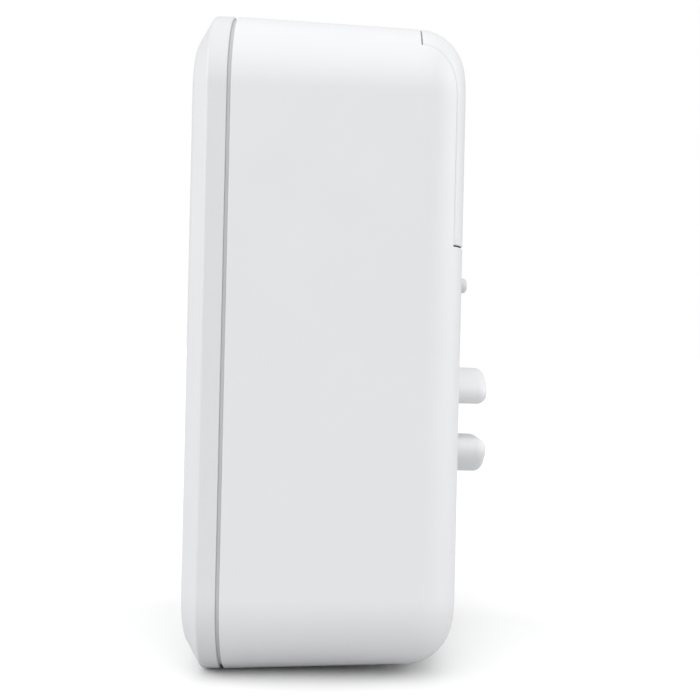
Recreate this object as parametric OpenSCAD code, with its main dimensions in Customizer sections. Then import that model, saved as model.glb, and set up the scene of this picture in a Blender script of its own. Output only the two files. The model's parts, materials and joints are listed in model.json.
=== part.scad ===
// Battery video doorbell: a deep rounded housing behind a bevelled front cover, with a battery
// door over its upper rear corner and a round slotted spigot that hooks into a wall plate.
// The front faces -Y and +Z is up. The origin is on the spigot's axis, in the plane of the rear face.

/* [Body] */
// Width across the seam
body_w = 66; // [65.5:0.5:72]
// Height
body_h = 110; // [109.5:0.5:116]
// Depth from the front face to the rear face
body_d = 44.9; // [44.7:0.1:48]
// Radius of the four corners, seen from the front
corner_r = 14.2; // [13.8:0.1:14.6]
// Taper of the housing's sides towards the rear, in degrees
draft = 2.6; // [2.3:0.1:2.9]
// Radius that rounds the rear edge
rear_fillet = 8; // [7.6:0.1:8.2]
// Wall thickness of housing and cover
wall = 2.2; // [2.1:0.1:2.3]

/* [Front cover] */
// Depth from the front face to the housing's front edge
seam_depth = 6.8; // [6.6:0.1:7]
// Width of the seam
seam_gap = 0.6; // [0.5:0.1:0.7]
// Depth of the bevel round the front face
bevel_depth = 3.1; // [2.8:0.1:3.4]
// Inset of the bevel round the front face
bevel_inset = 4.2; // [3.8:0.1:4.4]
// Radius of the camera window
window_r = 15; // [14:0.5:15.5]
// Radius of the motion sensor's lens
pir_r = 7.5; // [7:0.25:8]

/* [Bell button] */
// Radius of the button
button_r = 13.4; // [12.4:0.2:13.8]
// Travel of the button
button_travel = 0.6; // [0.3:0.1:0.7]
// Width of the light ring round the button
ring_w = 1.7; // [1.3:0.1:1.8]

/* [Battery door] */
// Distance from the door's side edges to the body's sides
door_margin = 4.5; // [4.4:0.1:4.8]
// How far the door reaches forwards over the top
door_lip = 7.6; // [7.4:0.1:7.8]
// Height of the door's hinge above the spigot's axis
hinge_z = 28.2; // [28.1:0.1:28.3]

/* [Spigot and plunger] */
// Height of the spigot's axis above the bottom
spigot_height = 41.8; // [41.4:0.1:42.2]
// Radius of the spigot
spigot_r = 9.65; // [9.4:0.05:9.9]
// How far the spigot stands out
spigot_l = 6.8; // [6.4:0.1:7.6]
// Width of the slot across the spigot
slot_w = 6.2; // [5.8:0.1:6.4]
// Radius of the tamper plunger
plunger_r = 1.4; // [1.3:0.05:1.5]
// How far the tamper plunger stands out
plunger_l = 3.3; // [2.9:0.1:3.7]
// Travel of the tamper plunger
plunger_travel = 2; // [1.4:0.1:2]

/* [Cells] */
// Radius of an AA cell
cell_r = 7.2; // [7.1:0.05:7.2]
// Length of an AA cell over its contacts
cell_l = 50.5; // [50:0.1:50.7]

/* [Hidden] */
$fn = 48;

// Overlap of joined solids, clearance of a close fit, gap round the door, and a cutter's overrun
eps = 0.01;
fit = 0.05;
gap = 0.25;
over = 1;

// Planes, from the front face back to the rear face at y = 0. What is on the front stands a
// little behind the face.
y_front = -body_d;
y_shown = y_front + 0.1;
y_bevel = y_front + bevel_depth;
y_seam = y_front + seam_depth;
y_cover = y_seam - seam_gap;
y_face_in = y_front + wall;
y_board = y_front + 8.5;
board_t = 1;
y_board_rear = y_board + board_t;
z_bottom = -spigot_height;
z_top = body_h - spigot_height;
z_mid = (z_top + z_bottom) / 2;
corner_x = body_w / 2 - corner_r;
corner_z = body_h / 2 - corner_r;

// Heights of what is on the front
camera_z = z_top - 24.2;
pir_z = z_top - 47.2;
mic_z = z_top - 58.2;
button_z = z_bottom + 32.8;
ring_r = button_r + 0.3;
speaker_z = z_bottom + 10.6;

// Case screws, in wells that run forwards from the rear face
screw_x = 19.5;
screw_z = [z_bottom + 12.8, z_bottom + 61.8];
well_r = 2.5;
well_wall = 1.1;
well_end = y_front + 7.4;
screw_seat = y_front + 14.5;
screw_r = 1.25;

// Posts for the boards' screws
pilot_r = 0.9;
board_screw_r = 0.85;
board_screw_head = 1.8;
board_hole_r = 1.1;
post_r = 2.6;
post_x = 25;
post_z = z_bottom + 23.8;
cradle_post_r = 2.4;
cradle_post_x = 22;
cradle_post_z = camera_z + 11;

// Battery cradle and cells, two rows high and two deep
cell_pitch = 14.7;
cell_y = -10.35;
cell_z = z_top - 16.6;
cradle_x = body_w / 2 - 4.7;
cradle_wall = 1;
cradle_front = cell_y - cell_pitch - cell_r - 1.4;
cradle_rear = -6.2;
cradle_top = cell_z + 8.6;
cradle_bottom = cell_z - cell_pitch - 8.4;
cradle_corner = 3.5;
contact_t = 0.4;
cell_end = cradle_x - cradle_wall - contact_t - fit;
cell_layout = [[cell_y, cell_z, 1], [cell_y, cell_z - cell_pitch, -1],
               [cell_y - cell_pitch, cell_z, -1], [cell_y - cell_pitch, cell_z - cell_pitch, 1]];

// Battery door and its hinge
door_x = body_w / 2 - door_margin;
door_wall = 2;
hinge_y = -1.5;
hinge_r = 1.4;
hinge_pin_r = 0.6;
door_edge = hinge_z + 1.6;
// Hollow inside the door's lower edge, which lets it swing over the housing's edge
relief_r = norm([hinge_y, door_edge - gap - hinge_z]) + 0.06;
relief_end = door_x - 2;
barrel_x = [10, 20];
knuckle_w = 2.9;
pin_x = [barrel_x[0] - gap - 2.3, barrel_x[1] + gap + 2.3];

// Spigot: a flange behind the rear wall, a step that fills the wall's hole, and a seal in a groove
flange_r = 13;
flange_t = 2;
spigot_step = 0.55;
seal_r = [11.1, 12.3];
seal_t = 0.8;

// Tamper plunger and reset button, on a small board behind the rear wall
plunger_z = z_bottom + 66.7;
guide_r = 2.35;
guide_wall = 0.95;
guide_end = -9.4;
y_rear_board = -12.4;
rear_board_t = 0.8;
rear_post_r = 2;
rear_post_x = 12;
rear_post_z = plunger_z - 7.9;
reset_x = 8.2;
reset_z = plunger_z - 2.4;
reset_r = 1.5;
reset_travel = 0.4;

// Helpers

module block(x, y, z) {
    translate([x[0], y[0], z[0]]) cube([x[1] - x[0], y[1] - y[0], z[1] - z[0]]);
}

module rod_y(x, z, y, r) {
    translate([x, y[1], z]) rotate([90, 0, 0]) cylinder(r = r, h = y[1] - y[0]);
}

module rod_x(y, z, x, r) {
    translate([x[0], y, z]) rotate([0, 90, 0]) cylinder(r = r, h = x[1] - x[0]);
}

// A flat outline in X and Z, made thick along Y
module slab(y) {
    translate([0, y[1], 0]) rotate([90, 0, 0]) linear_extrude(y[1] - y[0]) children();
}

module rounded(w, h, r) {
    square([w - 2 * r, h], center = true);
    square([w, h - 2 * r], center = true);
    for (sx = [-1, 1], sz = [-1, 1])
        translate([sx * (w / 2 - r), sz * (h / 2 - r)]) circle(r = r);
}

// The body's outline at the seam, moved inwards
module body_outline(inset) {
    translate([0, z_mid]) rounded(body_w - 2 * inset, body_h - 2 * inset, corner_r - inset);
}

module at_corners() {
    for (sx = [-1, 1], sz = [-1, 1])
        translate([sx * corner_x, 0, z_mid + sz * corner_z]) rotate([-90, 0, 0]) children();
}

module mirrored() {
    for (s = [0, 1]) mirror([s, 0, 0]) children();
}

// A profile of radius and depth, turned round an axis along Y
module turned(x, z) {
    translate([x, 0, z]) rotate([-90, 0, 0]) rotate_extrude() children();
}

// Profile of a spherical dish in a plane at y, from its middle out to radius r. A dome that stands
// out towards -Y has a negative depth.
function dish(r, y, depth) =
    let (steps = 10, ball_r = (r * r + depth * depth) / (2 * depth), sweep = asin(r / ball_r))
    [for (k = [0 : steps]) let (a = sweep * k / steps)
        [ball_r * sin(a), y + depth - ball_r * (1 - cos(a))]];

// Outline of one corner column of the housing, as radius and depth: draft, then the rear fillet
function column(inset, y_start) =
    let (steps = 8, f = rear_fillet - inset, y_c = -rear_fillet,
         r_start = corner_r - inset - (y_start - y_seam) * tan(draft),
         r_c = r_start - (y_c + f * sin(draft) - y_start) * tan(draft) - f * cos(draft))
    concat([[0, y_start], [r_start, y_start]],
           [for (k = [0 : steps]) let (a = draft + (90 - draft) * k / steps)
               [r_c + f * cos(a), y_c + f * sin(a)]],
           [[0, y_c + f]]);

module housing_form(inset, y_start) {
    hull() at_corners() rotate_extrude() polygon(column(inset, y_start));
}

module cover_form(inset, y_end) {
    hull() at_corners() rotate_extrude() polygon([
        [0, y_end], [corner_r - inset, y_end],
        [corner_r - inset, y_bevel + inset / 2],
        [corner_r - inset / 2 - bevel_inset, y_front + inset], [0, y_front + inset]]);
}

// A tube along a path. Each ring of points is square to the path, and side names a direction
// that the path never takes.
module swept_tube(path, r, side, n = 6) {
    last = len(path) - 1;
    rings = [for (i = [0 : last])
        let (along = path[min(i + 1, last)] - path[max(i - 1, 0)],
             a = cross(along, side) / norm(cross(along, side)),
             b = cross(along, a) / norm(along))
        for (k = [0 : n - 1]) path[i] + r * (cos(360 * k / n) * a + sin(360 * k / n) * b)];
    walls = [for (i = [0 : last - 1], k = [0 : n - 1])
        let (p = i * n + k, q = i * n + (k + 1) % n)
        each [[p, p + n, q], [q, p + n, q + n]]];
    polyhedron(rings, concat(walls, [[for (k = [0 : n - 1]) k]],
                             [[for (k = [n - 1 : -1 : 0]) last * n + k]]));
}

function bezier(p, t) =
    pow(1 - t, 3) * p[0] + 3 * pow(1 - t, 2) * t * p[1] + 3 * (1 - t) * t * t * p[2]
    + pow(t, 3) * p[3];

// A wire on a smooth curve between two points, each left in a given direction
module wire(p, r) {
    steps = 14;
    swept_tube([for (k = [0 : steps]) bezier(p, k / steps)], r, [1, 0, 0], 8);
}

// A coil along +Z, from radius r0 at the base to r1 at the top
module coil(r0, r1, h, turns, wire_r) {
    steps = 12 * turns;
    swept_tube([for (k = [0 : steps]) let (t = k / steps, r = r0 + (r1 - r0) * t, a = 360 * turns * t)
        [r * cos(a), r * sin(a), wire_r + (h - 2 * wire_r) * t]], wire_r, [0, 0, 1]);
}

// A cross-head screw along -Y with its head's underside at y
module screw(x, z, y, r, length, head_r, head_h) {
    slot = head_r * 0.35;
    difference() {
        union() {
            rod_y(x, z, [y - length, y + eps], r);
            rod_y(x, z, [y, y + head_h], head_r);
        }
        for (a = [0, 90]) translate([x, y + head_h, z]) rotate([0, a, 0])
            cube([slot * 4, head_h, slot], center = true);
    }
}

// Case

module rear_housing() {
    post_root = -wall / 2;
    opening_x = door_x + gap / 2;
    knuckle_y = hinge_y - 1.7;
    knuckle_drop = 2.5;
    board_pilot_l = 6;
    rear_pilot_l = 5;
    color("white") difference() {
        union() {
            difference() {
                housing_form(0, y_seam);
                housing_form(wall, y_seam - over);
                block([-opening_x, opening_x], [-door_lip - gap / 2, over], [door_edge - gap, z_top]);
            }
            for (sx = [-1, 1], z = screw_z)
                rod_y(sx * screw_x, z, [well_end, post_root], well_r + well_wall);
            for (sx = [-1, 1]) {
                rod_y(sx * post_x, post_z, [y_board_rear, post_root], post_r);
                rod_y(sx * rear_post_x, rear_post_z, [y_rear_board, post_root], rear_post_r);
            }
            rod_y(0, plunger_z, [guide_end, post_root], guide_r + guide_wall);
            mirrored() for (x = [barrel_x[0] - gap - knuckle_w, barrel_x[1] + gap])
                block([x, x + knuckle_w], [knuckle_y, 0], [hinge_z - knuckle_drop, door_edge - gap]);
        }
        for (sx = [-1, 1], z = screw_z) {
            rod_y(sx * screw_x, z, [screw_seat, over], well_r);
            rod_y(sx * screw_x, z, [well_end - over, screw_seat + over], screw_r + 3 * fit);
        }
        for (sx = [-1, 1]) {
            rod_y(sx * post_x, post_z, [y_board_rear - over, y_board_rear + board_pilot_l], pilot_r);
            rod_y(sx * rear_post_x, rear_post_z, [y_rear_board - over, y_rear_board + rear_pilot_l],
                  pilot_r);
        }
        rod_y(0, plunger_z, [guide_end - over, -wall], guide_r);
        rod_y(0, plunger_z, [-wall - over, over], plunger_r + fit);
        rod_y(reset_x, reset_z, [-wall - over, over], reset_r + fit);
        rod_y(0, 0, [-wall - over, over], spigot_r + spigot_step + fit);
        mirrored() {
            block([barrel_x[0] - gap, barrel_x[1] + gap], [knuckle_y - 2 * fit, over],
                  [hinge_z - hinge_r - gap - 2 * fit, door_edge]);
            rod_x(hinge_y, hinge_z, pin_x + [-0.1, 0.1], hinge_pin_r + eps);
        }
    }
}

module front_cover() {
    tongue_inset = wall + 0.2;
    tongue_t = 1.2;
    tongue_l = 1.5;
    boss_r = 3.2;
    window_ledge = y_front + 1.45;
    pir_ledge = y_front + 1.35;
    cut_y = [y_front - over, y_face_in + over];
    small_hole_r = 0.6;
    pitch = [2.4, 2.2];
    color("white") difference() {
        union() {
            difference() {
                cover_form(0, y_cover);
                cover_form(wall, y_cover + over);
            }
            difference() {
                slab([y_cover - tongue_l, y_seam + tongue_l]) body_outline(tongue_inset);
                slab([y_cover - 2 * over, y_seam + 2 * over]) body_outline(tongue_inset + tongue_t);
            }
            difference() {
                slab([y_cover - tongue_l, y_cover]) body_outline(wall - 0.5);
                slab([y_cover - 2 * over, y_cover + over]) body_outline(tongue_inset + 1);
            }
            for (sx = [-1, 1], z = screw_z)
                rod_y(sx * screw_x, z, [y_face_in - 0.5, well_end - 0.3], boss_r);
        }
        for (sx = [-1, 1], z = screw_z)
            rod_y(sx * screw_x, z, [y_face_in + 0.2, well_end], screw_r + 0.02);
        rod_y(0, camera_z, [y_front - over, window_ledge], window_r + 2 * fit);
        rod_y(0, camera_z, cut_y, window_r - 1.2);
        rod_y(0, pir_z, [y_front - over, pir_ledge], pir_r + 2 * fit);
        rod_y(0, pir_z, cut_y, pir_r - 0.8);
        rod_y(0, mic_z, cut_y, small_hole_r);
        rod_y(0, button_z, cut_y, ring_r + ring_w + fit);
        for (row = [-1 : 1], k = [-5 : 5]) if (abs(k) + abs(row) / 2 < 5.2)
            rod_y(pitch[0] * (k + (row * row - 0.5) / 2), speaker_z + pitch[1] * row, cut_y, small_hole_r);
    }
}

module housing_seal() {
    color("dimgray") difference() {
        slab([y_cover, y_seam]) body_outline(0.55);
        slab([y_cover - over, y_seam + over]) body_outline(wall + 0.1);
    }
}

module housing_screws() {
    color("silver") for (sx = [-1, 1], z = screw_z)
        screw(sx * screw_x, z, screw_seat, screw_r, 11.4, 2.3, 1.7);
}

module screw_plugs() {
    color("whitesmoke") for (sx = [-1, 1], z = screw_z) {
        rod_y(sx * screw_x, z, [-3.4, -0.2], well_r - 0.02);
        rod_y(sx * screw_x, z, [-6, -3.4 + eps], well_r - 0.7);
    }
}

// Camera

module camera_window() {
    color("black") rod_y(0, camera_z, [y_shown, y_front + 1.4], window_r);
}

module lens_barrel() {
    color("black") difference() {
        union() {
            rod_y(0, camera_z, [y_front + 2.1, y_front + 5.5], 4.2);
            rod_y(0, camera_z, [y_front + 2, y_front + 3.2], 5);
        }
        rod_y(0, camera_z, [y_front + 1, y_front + 2.9], 3.7);
        rod_y(0, camera_z, [y_front + 1, y_front + 6], 2.6);
    }
}

module lens_glass() {
    y_flat = y_front + 2.9;
    dome_r = 3.4;
    dome_h = 1.1;
    color("lightblue") turned(0, camera_z)
        polygon(concat(dish(dome_r, y_flat, -dome_h), [[0, y_flat]]));
}

module lens_holder() {
    side = 6.5;
    color("dimgray") difference() {
        block([-side, side], [y_front + 4, y_front + 7.5], [camera_z - side, camera_z + side]);
        rod_y(0, camera_z, [y_front + 3, y_front + 5.6], 4.25);
        block([-4, 4], [y_front + 5, y_front + 8], [camera_z - 4, camera_z + 4]);
    }
}

module sensor_board() {
    side = 8.5;
    color("darkgreen") {
        block([-side, side], [y_front + 7.5, y_front + 8.3], [camera_z - side, camera_z + side]);
        block([-3.2, 3.2], [y_front + 6.6, y_front + 7.5 + eps], [camera_z - 3.2, camera_z + 3.2]);
    }
}

module ir_board() {
    color("darkgreen") difference() {
        rod_y(0, camera_z, [y_front + 3.3, y_front + 4], 13);
        rod_y(0, camera_z, [y_front + 3, y_front + 5], 5.4);
    }
}

module ir_leds() {
    ring = 9.6;
    color("lightgray") for (a = [45 : 90 : 315]) {
        block([ring * cos(a) - 1.4, ring * cos(a) + 1.4], [y_front + 2.5, y_front + 3.3],
              [camera_z + ring * sin(a) - 1.4, camera_z + ring * sin(a) + 1.4]);
        rod_y(ring * cos(a), camera_z + ring * sin(a), [y_front + 2, y_front + 2.5 + eps], 1.1);
    }
}

module pir_lens() {
    color("whitesmoke") difference() {
        rod_y(0, pir_z, [y_shown, y_front + 1.3], pir_r);
        for (r = [1.5 : 1.5 : pir_r - 1]) difference() {
            rod_y(0, pir_z, [y_front + 1, y_front + 2], r + 0.2);
            rod_y(0, pir_z, [y_front, y_front + 3], r - 0.2);
        }
    }
}

module pir_sensor() {
    color("silver") {
        rod_y(0, pir_z, [y_front + 4.4, y_board], 4.1);
        rod_y(0, pir_z, [y_board - 0.6, y_board], 4.6);
    }
}

module microphone() {
    color("gold") block([-1.9, 1.9], [y_board - 1.1, y_board], [mic_z - 1.5, mic_z + 1.5]);
}

module mic_boot() {
    color("dimgray") difference() {
        rod_y(0, mic_z, [y_face_in, y_board - 1.1], 2.4);
        rod_y(0, mic_z, [y_face_in - over, y_board], 0.6);
    }
}

// Bell button and its light

module bell_button() {
    dish_r = button_r - 1.4;
    dish_depth = 0.8;
    flange_r = button_r + 1.1;
    flange_y = [y_front + 3.2, y_front + 4.2];
    stem_r = 3;
    stem_end = y_front + 5;
    color("whitesmoke") turned(0, button_z) polygon(concat(dish(dish_r, y_shown, dish_depth), [
        [button_r, y_shown], [button_r, flange_y[0]], [flange_r, flange_y[0]], [flange_r, flange_y[1]],
        [stem_r, flange_y[1]], [stem_r, stem_end], [0, stem_end]]));
}

module switch_plunger() {
    color("black") rod_y(0, button_z, [y_front + 5.5, y_board - 0.8 - button_travel], 1.6);
}

module button_membrane() {
    rim_r = button_r + 3.2;
    color("gray") difference() {
        rod_y(0, button_z, [y_front + 3, y_front + 5.5], rim_r);
        rod_y(0, button_z, [y_front + 2, y_front + 5], rim_r - 1.4);
        for (a = [0 : 60 : 300])
            rod_y(9 * cos(a), button_z + 9 * sin(a), [y_front + 4, y_front + 6], 1.6);
    }
}

module light_ring() {
    outer = ring_r + ring_w;
    color("lightcyan") difference() {
        union() {
            rod_y(0, button_z, [y_shown, y_front + 2.9], outer);
            rod_y(0, button_z, [y_face_in, y_front + 3], outer + 1.2);
        }
        rod_y(0, button_z, [y_front - over, y_front + 4], ring_r);
    }
}

module ring_leds() {
    ring = button_r + 0.4;
    color("lightyellow") for (a = [30 : 60 : 330])
        block([ring * cos(a) - 1, ring * cos(a) + 1], [y_board - 0.9, y_board],
              [button_z + ring * sin(a) - 0.6, button_z + ring * sin(a) + 0.6]);
}

module bell_switch() {
    side = 3;
    color("silver") difference() {
        block([-side, side], [y_board - 2.2, y_board], [button_z - side, button_z + side]);
        rod_y(0, button_z, [y_board - 3, y_board - 0.6], 1.7);
    }
}

// Speaker

module speaker_outline(inset) {
    translate([0, speaker_z]) rounded(28 - 2 * inset, 10 - 2 * inset, 4.8 - inset);
}

module speaker_gasket() {
    color("black") difference() {
        slab([y_face_in, y_front + 2.9]) speaker_outline(0);
        slab([y_face_in - over, y_front + 4]) speaker_outline(1);
    }
}

module speaker_frame() {
    color("dimgray") difference() {
        slab([y_front + 2.9, y_front + 6.2]) speaker_outline(0);
        slab([y_front + 2.5, y_front + 5.2]) speaker_outline(0.9);
        slab([y_front + 4, y_front + 7]) speaker_outline(2.2);
    }
}

module speaker_cone() {
    color("black") {
        slab([y_front + 3.6, y_front + 3.9]) speaker_outline(0.95);
        slab([y_front + 3.3, y_front + 3.6 + eps]) speaker_outline(2.6);
    }
}

module speaker_magnet() {
    color("silver") {
        slab([y_front + 4.6, y_front + 6.2]) speaker_outline(2.9);
        slab([y_front + 6, y_front + 8.6]) speaker_outline(2.4);
    }
}

module speaker_chamber() {
    half_w = 15.3;
    z_low = speaker_z - 5.8;
    z_high = speaker_z + 5.8;
    color("gray") difference() {
        block([-half_w, half_w], [y_front + 6.2, y_front + 22], [z_low, z_high]);
        block([1.2 - half_w, half_w - 1.2], [y_front + 7.4, y_front + 20.8],
              [z_low + 1.2, z_high - 1.2]);
        slab([y_front + 5, y_front + 8]) speaker_outline(1.4);
    }
}

module speaker_leads() {
    color("firebrick") for (x = [7, 8.4]) {
        wire([[x, y_front + 14, speaker_z + 5.85], [x, y_front + 14, speaker_z + 10],
              [x, y_front + 15, speaker_z + 16], [x, y_board_rear + 2.1, speaker_z + 16]], 0.5);
    }
}

// Electronics

module main_board() {
    low = z_bottom + 18.3;
    high = z_top - 6.7;
    board_w = 57;
    board_corner = 10;
    cut_y = [y_board - over, y_board_rear + over];
    color("darkgreen") difference() {
        slab([y_board, y_board_rear]) translate([0, (low + high) / 2])
            rounded(board_w, high - low, board_corner);
        for (sx = [-1, 1]) {
            rod_y(sx * screw_x, screw_z[1], cut_y, well_r + well_wall + 0.4);
            rod_y(sx * post_x, post_z, cut_y, board_hole_r);
            rod_y(sx * cradle_post_x, cradle_post_z, cut_y, board_hole_r);
        }
    }
}

module shield_can() {
    color("silver") difference() {
        block([-22, -2], [y_board_rear, y_board_rear + 2.4], [button_z - 12, button_z + 8]);
        for (x = [-20 : 2 : -4], z = [button_z - 10 : 4 : button_z + 6])
            rod_y(x, z, [y_board_rear + 2, y_board_rear + 3], 0.4);
    }
}

module board_chips() {
    color("black") {
        block([5, 14], [y_board_rear, y_board_rear + 1.2], [button_z + 8, button_z + 17]);
        block([6, 12], [y_board_rear, y_board_rear + 1], [button_z - 3.5, button_z + 2.5]);
        block([14.5, 18.5], [y_board_rear, y_board_rear + 1], [button_z - 4, button_z + 1]);
        block([-20, -15], [y_board_rear, y_board_rear + 1.4], [button_z + 11, button_z + 17]);
        rod_y(19, button_z + 10, [y_board_rear, y_board_rear + 5], 3.2);
    }
}

module board_connectors() {
    color("ivory") {
        block([5.5, 9.9], [y_board_rear, y_board_rear + 2], [speaker_z + 14.2, speaker_z + 17.8]);
        block([-12.5, -6.5], [y_board_rear, y_board_rear + 2], [button_z + 20, button_z + 24]);
        block([-4.5, 4.5], [y_board_rear, y_board_rear + 1.6], [button_z + 12, button_z + 15]);
        block([9, 12], [y_board_rear, y_board_rear + 1], [cradle_top + 0.6, cradle_top + 3.4]);
    }
}

module board_screws() {
    color("silver") for (sx = [-1, 1]) {
        mirror([0, 1, 0])
            screw(sx * post_x, post_z, -y_board, board_screw_r, 6, board_screw_head, 1.1);
        mirror([0, 1, 0])
            screw(sx * cradle_post_x, cradle_post_z, -y_board, board_screw_r, 2.9, board_screw_head, 1.1);
    }
}

module antenna_board() {
    color("darkgreen") block([-16, 16], [y_board + 4, -11], [cradle_top + 0.2, cradle_top + 1]);
    color("gold") block([-14, 14], [-22, -13], [cradle_top + 1, cradle_top + 1.15]);
}

module antenna_cable() {
    color("black") wire([[10.5, y_board + 7, cradle_top + 1.75], [10.5, y_board + 4.5, cradle_top + 1.75],
        [10.5, y_board_rear + 3, cradle_top + 2.2], [10.5, y_board_rear + 1.05, cradle_top + 2.2]], 0.5);
}

// Batteries

module cradle_outline(inset) {
    translate([0, (cradle_top + cradle_bottom) / 2])
        rounded(2 * (cradle_x - inset), cradle_top - cradle_bottom - 2 * inset, cradle_corner - inset);
}

module battery_cradle() {
    floor_t = 1.2;
    color("gainsboro") difference() {
        union() {
            slab([cradle_front, cradle_rear]) cradle_outline(0);
            for (sx = [-1, 1])
                rod_y(sx * cradle_post_x, cradle_post_z, [y_board_rear, cradle_front + eps], cradle_post_r);
        }
        slab([cradle_front + floor_t, 0]) cradle_outline(cradle_wall);
        for (sx = [-1, 1])
            rod_y(sx * cradle_post_x, cradle_post_z, [y_board_rear - over, cradle_front + 0.9], pilot_r);
    }
}

// One cell along X with its positive end at +X
module cell() {
    nub_l = 1;
    edge = 0.4;
    can = cell_l - nub_l;
    translate([cell_end - cell_l, 0, 0]) rotate([0, 90, 0]) rotate_extrude() polygon([
        [0, 0.2], [5, 0.2], [5, 0], [cell_r - edge, 0], [cell_r, edge], [cell_r, can - edge],
        [cell_r - edge, can], [2.7, can], [2.7, can + nub_l - 0.2], [2.5, cell_l], [0, cell_l]]);
}

module placed_cell(k) {
    place = cell_layout[k];
    translate([0, place[0], place[1]]) mirror([place[2] > 0 ? 0 : 1, 0, 0]) children();
}

module cell_1() { color("darkslategray") placed_cell(0) cell(); }
module cell_2() { color("darkslategray") placed_cell(1) cell(); }
module cell_3() { color("darkslategray") placed_cell(2) cell(); }
module cell_4() { color("darkslategray") placed_cell(3) cell(); }

module contact_springs() {
    base = -cradle_x + cradle_wall + contact_t;
    color("silver") for (k = [0 : 3]) placed_cell(k) translate([base, 0, 0]) rotate([0, 90, 0])
        coil(3.6, 1.7, cell_end - cell_l - base - eps, 3, 0.3);
}

module contact_plates() {
    side = 4.8;
    inner = cradle_x - cradle_wall;
    color("gold") for (k = [0 : 3]) placed_cell(k) {
        block([inner - contact_t, inner], [-side, side], [-side, side]);
        block([-inner, contact_t - inner], [-side, side], [-side, side]);
    }
}

module battery_leads() {
    y = cell_y - 8;
    color("firebrick") for (x = [-10.4, -8.6])
        wire([[x, y, cradle_bottom - fit], [x, y, cradle_bottom - 8],
              [x, y - 2, button_z + 22], [x, y_board_rear + 2.05, button_z + 22]], 0.6);
}

module cradle_seal() {
    seal_t = 1;
    color("dimgray") slab([cradle_rear, cradle_rear + seal_t]) difference() {
        cradle_outline(0);
        cradle_outline(cradle_wall);
    }
}

module battery_door() {
    relief_x = [[-relief_end, -barrel_x[1] - 0.2], [0.2 - barrel_x[0], barrel_x[0] - 0.2],
                [barrel_x[1] + 0.2, relief_end]];
    tab_x = [11, 17];
    tab_y = [-door_lip - 1.7, 2 - door_lip];
    tab_z = [z_top - 5.6, z_top - 4.2];
    color("white") difference() {
        union() {
            intersection() {
                difference() {
                    housing_form(0, y_seam);
                    housing_form(door_wall, y_seam - over);
                }
                block([-door_x, door_x], [-door_lip, over], [door_edge, z_top]);
            }
            mirrored() {
                rod_x(hinge_y, hinge_z, barrel_x, hinge_r);
                block(barrel_x, [-door_wall, 0], [hinge_z, door_edge + over]);
                block(tab_x, tab_y, tab_z);
                block(tab_x, [-door_lip, tab_y[1]], [tab_z[0], z_top - 3]);
            }
        }
        for (x = relief_x) rod_x(hinge_y, hinge_z, x, relief_r);
        mirrored() rod_x(hinge_y, hinge_z, barrel_x + [-over, over], hinge_pin_r + fit);
    }
}

module cell_pad() {
    color("darkgray") block([-19, 19], [-3, -door_wall], [cell_z - cell_pitch - 3, cell_z + 4]);
}

module hinge_pins() {
    color("silver") mirrored() rod_x(hinge_y, hinge_z, pin_x, hinge_pin_r);
}

// Wall mount

module mount_spigot() {
    tip_r = 2;
    hollow_r = 6;
    color("white") difference() {
        union() {
            rod_y(0, 0, [-wall - flange_t, -wall], flange_r);
            rod_y(0, 0, [-wall - eps, 0], spigot_r + spigot_step);
            turned(0, 0) {
                square([spigot_r, spigot_l - tip_r]);
                square([spigot_r - tip_r, spigot_l]);
                translate([spigot_r - tip_r, spigot_l - tip_r]) circle(r = tip_r);
            }
        }
        block([-spigot_r - over, spigot_r + over], [0, spigot_l + over], [-slot_w / 2, slot_w / 2]);
        rod_y(0, 0, [-wall - flange_t - over, -wall - seal_t], hollow_r);
        difference() {
            rod_y(0, 0, [-wall - seal_t, -wall + over], seal_r[1]);
            rod_y(0, 0, [-wall - 2 * over, -wall + 2 * over], seal_r[0]);
        }
    }
}

module spigot_seal() {
    color("black") difference() {
        rod_y(0, 0, [-wall - seal_t, -wall], seal_r[1] - fit);
        rod_y(0, 0, [-wall - 2 * over, -wall + over], seal_r[0] + fit);
    }
}

// Tamper plunger, reset button and their board

module tamper_plunger() {
    tip_r = 0.7;
    color("silver") {
        rod_y(0, plunger_z, [-wall - 0.3, plunger_l - tip_r], plunger_r);
        rod_y(0, plunger_z, [plunger_l - tip_r - eps, plunger_l], plunger_r - 0.4);
        rod_y(0, plunger_z, [-wall - 1.2, -wall - fit], guide_r - 0.15);
        rod_y(0, plunger_z, [guide_end + plunger_travel + 0.4, -wall - 1], 1.1);
    }
}

module tamper_spring() {
    color("silver") translate([0, guide_end - 0.1, plunger_z]) rotate([-90, 0, 0])
        coil(1.75, 1.75, -wall - 1.2 - guide_end + 0.1 - eps, 5, 0.22);
}

module tamper_switch() {
    side = 3;
    color("black") {
        block([-side, side], [y_rear_board, guide_end - 0.1], [plunger_z - side, plunger_z + side]);
        rod_y(0, plunger_z, [guide_end - 0.2, guide_end + 0.3], 0.8);
    }
}

module reset_button() {
    color("gray") {
        rod_y(reset_x, reset_z, [-wall - 0.3, -0.6], reset_r);
        rod_y(reset_x, reset_z, [-wall - 1.2, -wall - fit], reset_r + 0.8);
        rod_y(reset_x, reset_z, [y_rear_board + 1.1 + reset_travel, -wall - 1], 1);
    }
}

module reset_switch() {
    side = 2.25;
    color("silver") {
        block([reset_x - side, reset_x + side], [y_rear_board, y_rear_board + 0.9],
              [reset_z - side, reset_z + side]);
        rod_y(reset_x, reset_z, [y_rear_board + 0.8, y_rear_board + 1.05], 1);
    }
}

module rear_board() {
    color("darkgreen") difference() {
        block([-14.5, 14.5], [y_rear_board - rear_board_t, y_rear_board],
              [plunger_z - 10.1, plunger_z + 3.1]);
        for (sx = [-1, 1])
            rod_y(sx * rear_post_x, rear_post_z, [y_rear_board - 2 * over, y_rear_board + over], 1);
    }
}

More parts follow.
